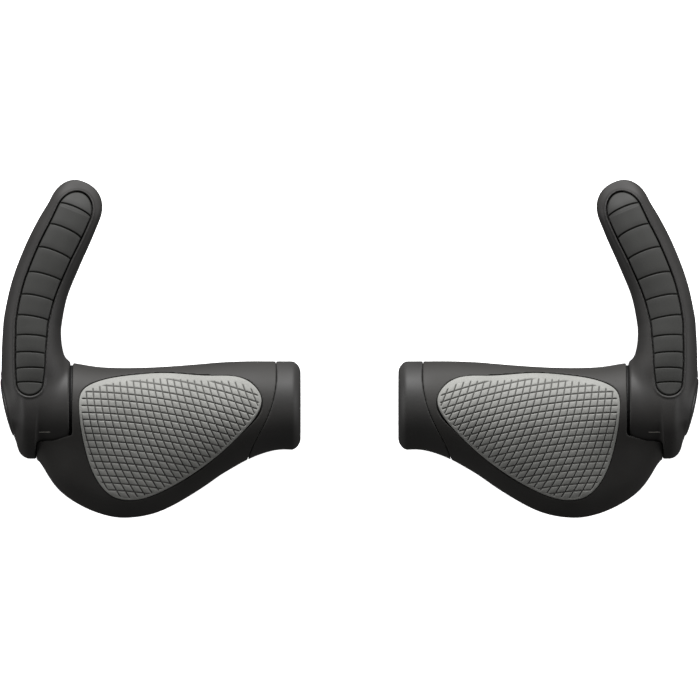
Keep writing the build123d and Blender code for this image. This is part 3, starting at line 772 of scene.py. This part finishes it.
def make_highlight_line(material):
    """Short pale line on top of the eye, on a faintly raised strip; its pale colour is a painted highlight.
    """
    u, v = np.meshgrid(np.linspace(93.4, 98.0, 60), np.linspace(-10.05, -9.75, 7), indexing="ij")
    w = form_height(bar_end_form, u, v)
    across = np.linspace(-1, 1, 7)[None]
    along = np.linspace(-1, 1, 60)[:, None]
    height = 0.06 * np.sqrt(np.clip(1 - across**2, 0, 1)) * (1 - along**8) - 0.02
    points, quads = grid_mesh(raised(np.stack((u, v, w), 2), height))
    pair("highlight_line", "bar_end", points, quads, material, ())


# ---- Materials ---------------------------------------------------------------------------------------
class Nodes:
    """A material's node tree, with short calls for the nodes that the materials share."""

    def __init__(self, name):
        self.material = bpy.data.materials.new(name)
        self.material.use_nodes = True
        self.tree = self.material.node_tree
        self.shader = self.tree.nodes["Principled BSDF"]

    def add(self, kind, values=None, **settings):
        node = self.tree.nodes.new(kind)
        for key, value in settings.items():
            setattr(node, key, value)
        for key, value in (values or {}).items():
            self.put(value, node.inputs[key])
        return node

    def put(self, value, socket):
        if isinstance(value, bpy.types.NodeSocket):
            self.tree.links.new(value, socket)
        else:
            socket.default_value = value

    def noise(self, scale, detail=3.0, stretch=None):
        place = self.add("ShaderNodeTexCoord").outputs["Object"]
        if stretch:
            place = self.add("ShaderNodeMapping", {"Vector": place, "Scale": stretch}).outputs["Vector"]
        values = {"Vector": place, "Scale": scale, "Detail": detail}
        return self.add("ShaderNodeTexNoise", values).outputs["Fac"]

    def range(self, value, low, high, to_low, to_high):
        values = {"Value": value, 1: low, 2: high, 3: to_low, 4: to_high}
        return self.add("ShaderNodeMapRange", values).outputs["Result"]

    def math(self, operation, a, b):
        return self.add("ShaderNodeMath", {0: a, 1: b}, operation=operation).outputs["Value"]

    def mix(self, share, a, b):
        node = self.add("ShaderNodeMix", {"Factor": share}, data_type="RGBA")
        self.put(a, node.inputs[6])
        self.put(b, node.inputs[7])
        return node.outputs[2]

    def attribute(self, name):
        return self.add("ShaderNodeAttribute", attribute_name=name).outputs["Fac"]

    def bump(self, layers):
        """Stacked bumps: (height, strength, distance in metres)."""
        normal = None
        for height, strength, distance in layers:
            values = {"Height": height, "Strength": strength, "Distance": distance}
            if normal is not None:
                values["Normal"] = normal
            normal = self.add("ShaderNodeBump", values).outputs["Normal"]
        self.put(normal, self.shader.inputs["Normal"])

    def set(self, **values):
        for key, value in values.items():
            self.put(value, self.shader.inputs[key.replace("_", " ")])


def moulded(name, dark, light, rough, grain, grain_depth, specular=0.5, groove=None):
    """Moulded rubber or nylon: mottled colour, uneven gloss, a fine grain, and a dark colour painted into its
    grooves and gaps as painted shade.
    """
    n = Nodes(name)
    blotch = n.noise(55.0, 4.0)
    fine = n.noise(grain, 2.0)
    coarse = n.noise(grain * 0.28, 3.0)
    colour = n.mix(n.range(blotch, 0.32, 0.68, 0.0, 1.0), (*dark, 1), (*light, 1))
    speck = n.range(fine, 0.35, 0.7, 0.86, 1.1)
    tint = n.add("ShaderNodeHueSaturation", {"Value": speck, "Color": colour}).outputs["Color"]
    wide_gloss = n.range(blotch, 0.3, 0.7, rough - 0.05, rough + 0.05)
    gloss = n.math("ADD", wide_gloss, n.range(fine, 0.3, 0.7, -0.04, 0.04))
    # Painted shade: where the mesh's groove attribute is high, the colour turns to the given dark groove
    # colour.
    if groove:
        groove_shade_share = n.range(n.attribute("groove"), 0.15, 0.95, 0.0, 1.0)
        tint = n.mix(groove_shade_share, tint, (*groove, 1))
    n.put(tint, n.shader.inputs["Base Color"])
    n.put(gloss, n.shader.inputs["Roughness"])
    n.set(Specular_IOR_Level=specular)
    n.bump([(coarse, 0.35, grain_depth * 2.2), (fine, 0.5, grain_depth)])
    return n.material


def metal(name, colour, rough, stretch):
    """Turned or drawn metal: fine lines along the cut, and a little uneven gloss."""
    n = Nodes(name)
    lines = n.noise(1.0, 3.0, stretch)
    blotch = n.noise(160.0, 3.0)
    streak = n.range(lines, 0.3, 0.7, 0.85, 1.1)
    shade = n.add("ShaderNodeHueSaturation", {"Value": streak, "Color": (*colour, 1)})
    n.put(shade.outputs["Color"], n.shader.inputs["Base Color"])
    n.put(n.range(blotch, 0.3, 0.7, rough - 0.07, rough + 0.07), n.shader.inputs["Roughness"])
    n.set(Metallic=1.0)
    n.bump([(lines, 0.4, 0.00003)])
    return n.material


bar_end_nylon = moulded(
    "bar_end_nylon", (0.015, 0.0142, 0.0138), (0.020, 0.019, 0.018),
    rough=0.62, grain=5200.0, grain_depth=0.000012, specular=0.28,
)
# Its groove colour is painted shade on the core's fingers in the gap by the bar end.
core_nylon = moulded(
    "core_nylon", (0.017, 0.0165, 0.016), (0.022, 0.021, 0.020),
    rough=0.64, grain=5600.0, grain_depth=0.000012, specular=0.30, groove=(0.004, 0.004, 0.004),
)
# Near black, with little gloss: painted shade on the flange deep in the joint.
joint_shade_nylon = moulded(
    "joint_shade_nylon", (0.003, 0.003, 0.003), (0.005, 0.005, 0.005),
    rough=0.75, grain=5600.0, grain_depth=0.000012, specular=0.08,
)
cap_plastic = moulded(
    "cap_plastic", (0.013, 0.012, 0.012), (0.017, 0.016, 0.015),
    rough=0.38, grain=6400.0, grain_depth=0.000006,
)
black_rubber = moulded(
    "black_rubber", (0.016, 0.015, 0.014), (0.021, 0.020, 0.0185),
    rough=0.68, grain=4200.0, grain_depth=0.000014, specular=0.30,
)
# Its groove colour is painted shade in the grooves of the texture under the grip.
finger_rubber = moulded(
    "finger_rubber", (0.013, 0.012, 0.011), (0.018, 0.017, 0.016),
    rough=0.62, grain=4200.0, grain_depth=0.000014, specular=0.4, groove=(0.007, 0.006, 0.006),
)
# Its groove colour is painted shade in the palm pad's knurl grooves and along its edge.
grey_rubber = moulded(
    "grey_rubber", (0.176, 0.176, 0.166), (0.215, 0.215, 0.204),
    rough=0.72, grain=3600.0, grain_depth=0.000018, specular=0.25, groove=(0.045, 0.044, 0.041),
)
# Its groove colour is painted shade in the horn pad's grooves and along its edge.
horn_rubber = moulded(
    "horn_rubber", (0.015, 0.015, 0.0138), (0.020, 0.020, 0.0185),
    rough=0.66, grain=4200.0, grain_depth=0.000014, specular=0.32, groove=(0.005, 0.005, 0.004),
)
# Pale colour of the line on top of the eye: a painted highlight.
highlight_paint = moulded(
    "highlight_paint", (0.20, 0.19, 0.17), (0.28, 0.27, 0.25),
    rough=0.6, grain=5200.0, grain_depth=0.00001,
)
aluminium = metal("clamp_aluminium", (0.60, 0.61, 0.63), 0.34, (60.0, 9000.0, 9000.0))
steel = metal("steel", (0.42, 0.42, 0.43), 0.30, (9000.0, 60.0, 9000.0))


# ---- Pieces --------------------------------------------------------------------------------------------
make_bar_end(bar_end_nylon)
make_horn_pad(horn_rubber)
make_cap(cap_plastic)
make_highlight_line(highlight_paint)
make_rubber(black_rubber)
make_core(core_nylon)
make_flange(joint_shade_nylon)
make_palm_pad(grey_rubber)
make_finger_field(finger_rubber)
for side in SIDES:
    for node, material in (
        ("clamp_ring", aluminium),
        ("barrel_nut", steel),
        ("screw_washer", steel),
        ("clamp_screw", steel),
    ):
        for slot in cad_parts[f"{side}_{node}"].material_slots:
            slot.material = material


# ---- Stage ---------------------------------------------------------------------------------------------
FLOOR_GLOW = 0.95  # keeps the paper near white under the soft shadows


def make_floor():
    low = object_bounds()[0].z
    corners = np.array([(-4, -4, low), (4, -4, low), (4, 4, low), (-4, 4, low)])
    floor = new_mesh("floor", corners, np.array([[0, 1, 2, 3]]))
    n = Nodes("floor_paper")
    shade = n.range(n.noise(3.0), 0.3, 0.7, 0.90, 0.93)
    paper = n.add("ShaderNodeCombineColor", {0: shade, 1: shade, 2: shade}).outputs["Color"]
    n.put(paper, n.shader.inputs["Base Color"])
    n.set(Roughness=0.9, Emission_Color=(1.0, 1.0, 1.0, 1.0), Emission_Strength=FLOOR_GLOW)
    floor.data.materials.append(n.material)
    floor.visible_diffuse = floor.visible_glossy = False


def make_light(name, place, aim, size, energy):
    lamp = bpy.data.lights.new(name, "AREA")
    lamp.shape, lamp.size, lamp.energy = "SQUARE", size, energy
    light = bpy.data.objects.new(name, lamp)
    light.location = place
    light.rotation_euler = (Vector(aim) - Vector(place)).to_track_quat("-Z", "Y").to_euler()
    bpy.context.scene.collection.objects.link(light)


def make_lights():
    world = bpy.data.worlds.new("studio")
    world.use_nodes = True
    sky = world.node_tree.nodes["Background"]
    sky.inputs["Color"].default_value = (1.0, 1.0, 1.0, 1)
    sky.inputs["Strength"].default_value = 0.12
    bpy.context.scene.world = world
    make_light("key", (0.0, 1.9, 0.8), (0.0, 0.0, 0.0), 1.0, 110.0)
    make_light("side_left", (-1.4, 0.1, 0.45), (0.0, 0.0, 0.0), 0.8, 14.0)
    make_light("side_right", (1.4, 0.1, 0.45), (0.0, 0.0, 0.0), 0.8, 14.0)


VIEW_WIDTH = 0.2625  # metres across the picture
VIEW_CENTRE = (0.0002, 0.0208)
VIEW_HEIGHT = 4.0


def make_camera():
    data = bpy.data.cameras.new("camera")
    data.sensor_width = 36.0
    data.lens = data.sensor_width * VIEW_HEIGHT / VIEW_WIDTH
    data.clip_start, data.clip_end = 0.05, 50.0
    camera = bpy.data.objects.new("camera", data)
    camera.location = (*VIEW_CENTRE, VIEW_HEIGHT)
    bpy.context.scene.collection.objects.link(camera)
    bpy.context.scene.camera = camera


make_floor()
make_lights()
make_camera()
bpy.context.scene.view_settings.view_transform = "Standard"
